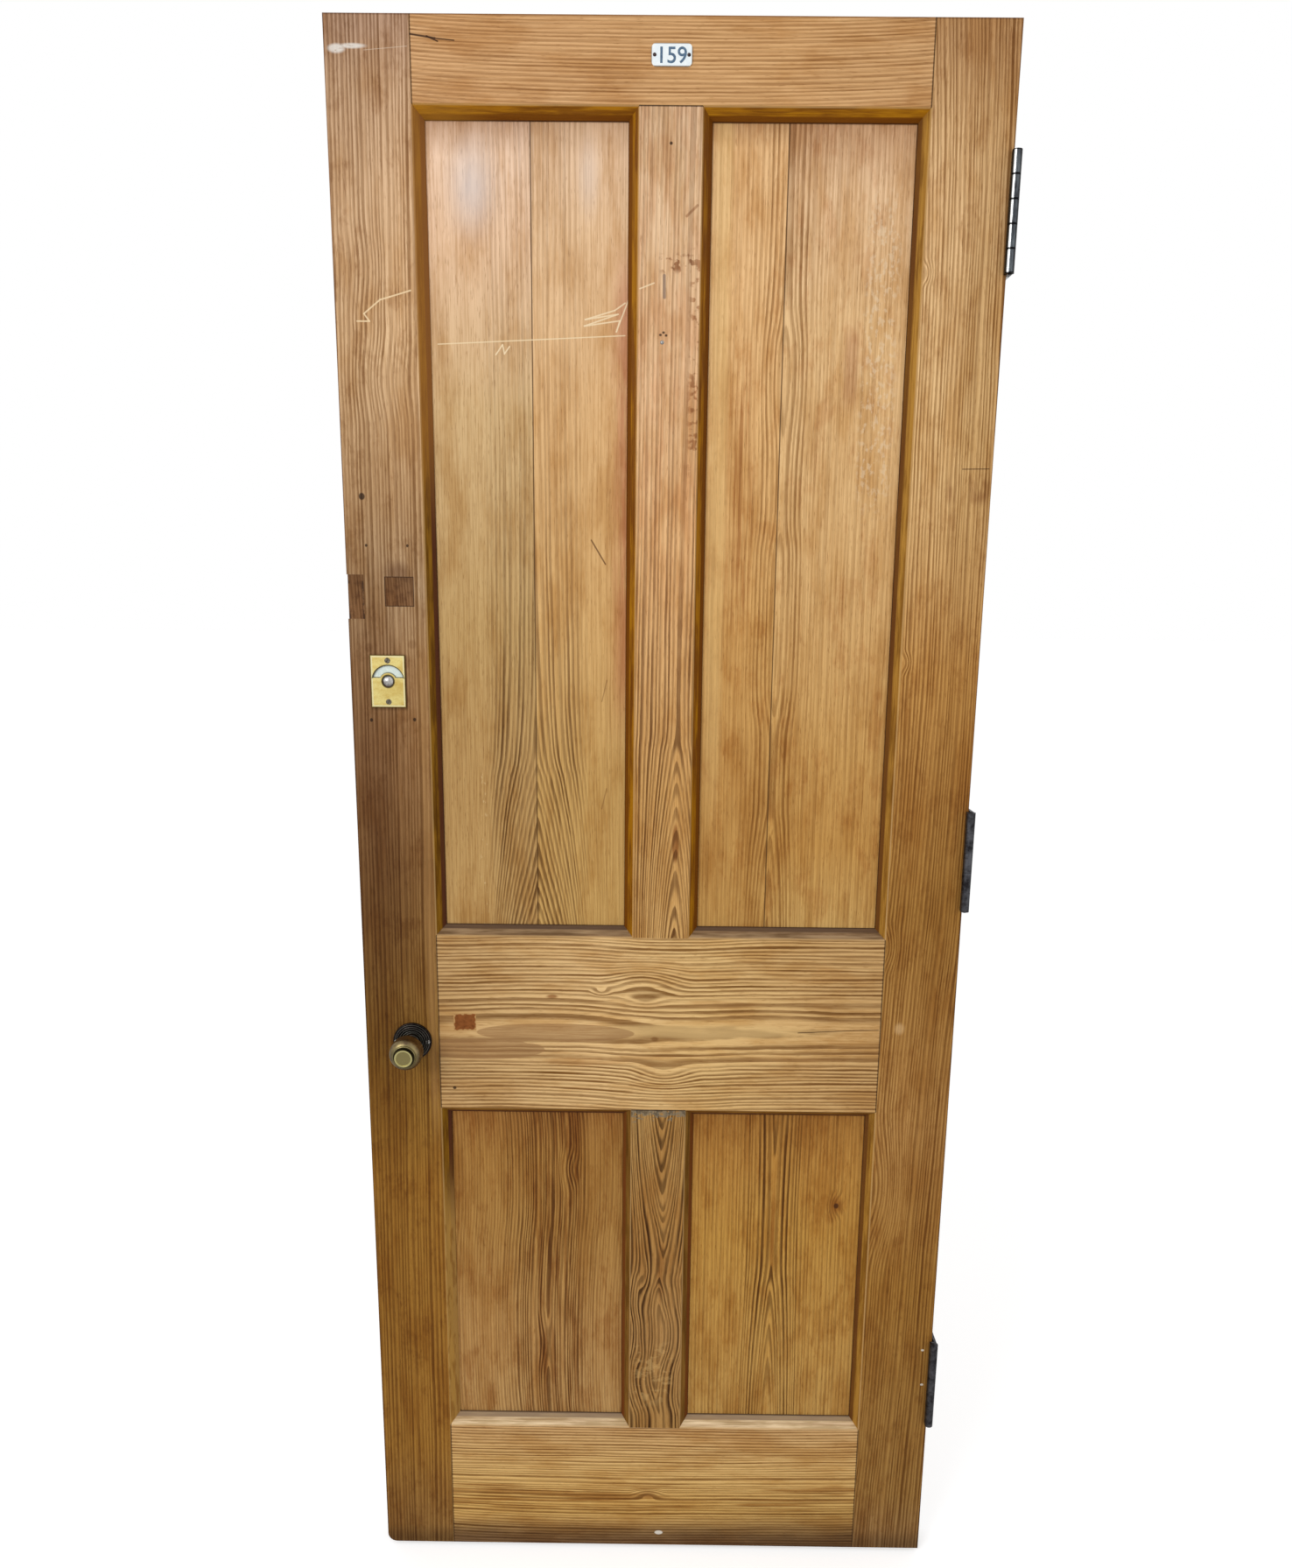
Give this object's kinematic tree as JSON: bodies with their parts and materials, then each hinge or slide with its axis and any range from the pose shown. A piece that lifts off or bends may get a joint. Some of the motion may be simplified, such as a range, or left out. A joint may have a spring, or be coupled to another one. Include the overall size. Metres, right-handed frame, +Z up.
{
  "type": "interior door",
  "caption": "Panelled solid pine door leaf with wedged tenons, butt hinges, a turned knob on a sprung rim latch, and a vacant-or-engaged indicator bolt.",
  "frame": {"origin": "middle of the leaf's foot, halfway through its thickness", "axes": "+X towards the hinge edge, +Y towards the back of the door, +Z up; the front with the knuckles and number plate faces -Y"},
  "size_m": [0.78, 0.1698, 1.956],
  "materials": {
    "pine_frame": "old waxed pine, satin",
    "pine_panel": "old waxed pine, satin",
    "wedge_wood": "end grain, dull",
    "patch_wood": "dark let-in wood, satin",
    "filler": "reddish wood filler, dull",
    "enamel": "white vitreous enamel",
    "disc_enamel": "pale enamel, half red",
    "plate_brass": "brushed, lightly tarnished",
    "brass_screw": "tarnished",
    "old_brass": "brown patina, worn bright at the edges",
    "dark_bronze": "blackened, satin",
    "bright_steel": "worn bright",
    "dark_steel": "blackened, dull",
    "case_iron": "black japanned iron"
  },
  "bodies": {
    "hinge_frame_leaves": {"hinge_top_frame_leaf": "bright_steel", "hinge_top_pin": "bright_steel", "hinge_middle_frame_leaf": "dark_steel", "hinge_middle_pin": "dark_steel", "hinge_bottom_frame_leaf": "dark_steel", "hinge_bottom_pin": "dark_steel"},
    "door": {"stile_lock": "pine_frame", "stile_hinge": "pine_frame", "rail_top": "pine_frame", "rail_lock": "pine_frame", "rail_bottom": "pine_frame", "muntin_upper": "pine_frame", "muntin_lower": "pine_frame", "panel_upper_left_outer": "pine_panel", "panel_upper_left_inner": "pine_panel", "panel_upper_right_inner": "pine_panel", "panel_upper_right_outer": "pine_panel", "panel_lower_left": "pine_panel", "panel_lower_right": "pine_panel", "tenon_wedges": "wedge_wood", "patch_stile": "patch_wood", "patch_edge": "patch_wood", "filler_lock_rail": "filler", "number_plate": "enamel", "number_plate_screws": "brass_screw", "muntin_nail": "bright_steel", "indicator_plate": "plate_brass", "indicator_plate_screws": "bright_steel", "bolt_backplate": "old_brass", "bolt_case": "old_brass", "bolt_case_screws": "brass_screw", "rose": "dark_bronze", "rose_screws": "bright_steel", "latch_spring": "bright_steel", "latch_backplate": "case_iron", "latch_case": "case_iron", "latch_case_screws": "dark_steel", "hinge_top_door_leaf": "bright_steel", "hinge_top_screws": "bright_steel", "hinge_middle_door_leaf": "dark_steel", "hinge_middle_screws": "dark_steel", "hinge_bottom_door_leaf": "dark_steel", "hinge_bottom_screws": "dark_steel"},
    "knob": {"knob_outside": "old_brass", "knob_inside": "old_brass", "knob_spindle": "dark_steel", "knob_grub_screws": "dark_steel", "latch_follower": "case_iron"},
    "latch": {"latch_bolt": "plate_brass"},
    "indicator": {"indicator_disc": "disc_enamel", "indicator_release": "bright_steel", "indicator_spindle": "dark_steel", "bolt_pinion": "brass_screw", "bolt_snib": "old_brass"},
    "bolt": {"slide_bolt": "old_brass"}
  },
  "joints": [
    {"name": "door_swing", "type": "hinge", "parent": "hinge_frame_leaves", "child": "door", "pos_m": [0.3825, -0.028, 0], "axis": [0, 0, 1], "range_deg": [0, 180]},
    {"name": "knob_turn", "type": "hinge", "parent": "door", "child": "knob", "pos_m": [-0.321, 0, 0.768], "axis": [0, 1, 0], "range_deg": [0, 45], "stiffness_Nm_per_rad": 0.25, "springref_deg": -20.05},
    {"name": "latch_slide", "type": "slide", "parent": "door", "child": "latch", "axis": [1, 0, 0], "range_m": [0, 0.011], "deforming": ["latch_spring"]},
    {"name": "indicator_turn", "type": "hinge", "parent": "door", "child": "indicator", "pos_m": [-0.3355, 0, 1.2335], "axis": [0, 1, 0], "range_deg": [0, 180]},
    {"name": "bolt_slide", "type": "slide", "parent": "door", "child": "bolt", "axis": [-1, 0, 0], "range_m": [0, 0.016]}
  ],
  "couplings": [
    {"joint": "latch_slide", "follows": "knob_turn", "m_per_rad": 0.014},
    {"joint": "indicator_turn", "follows": "bolt_slide", "rad_per_m": 196.35}
  ]
}
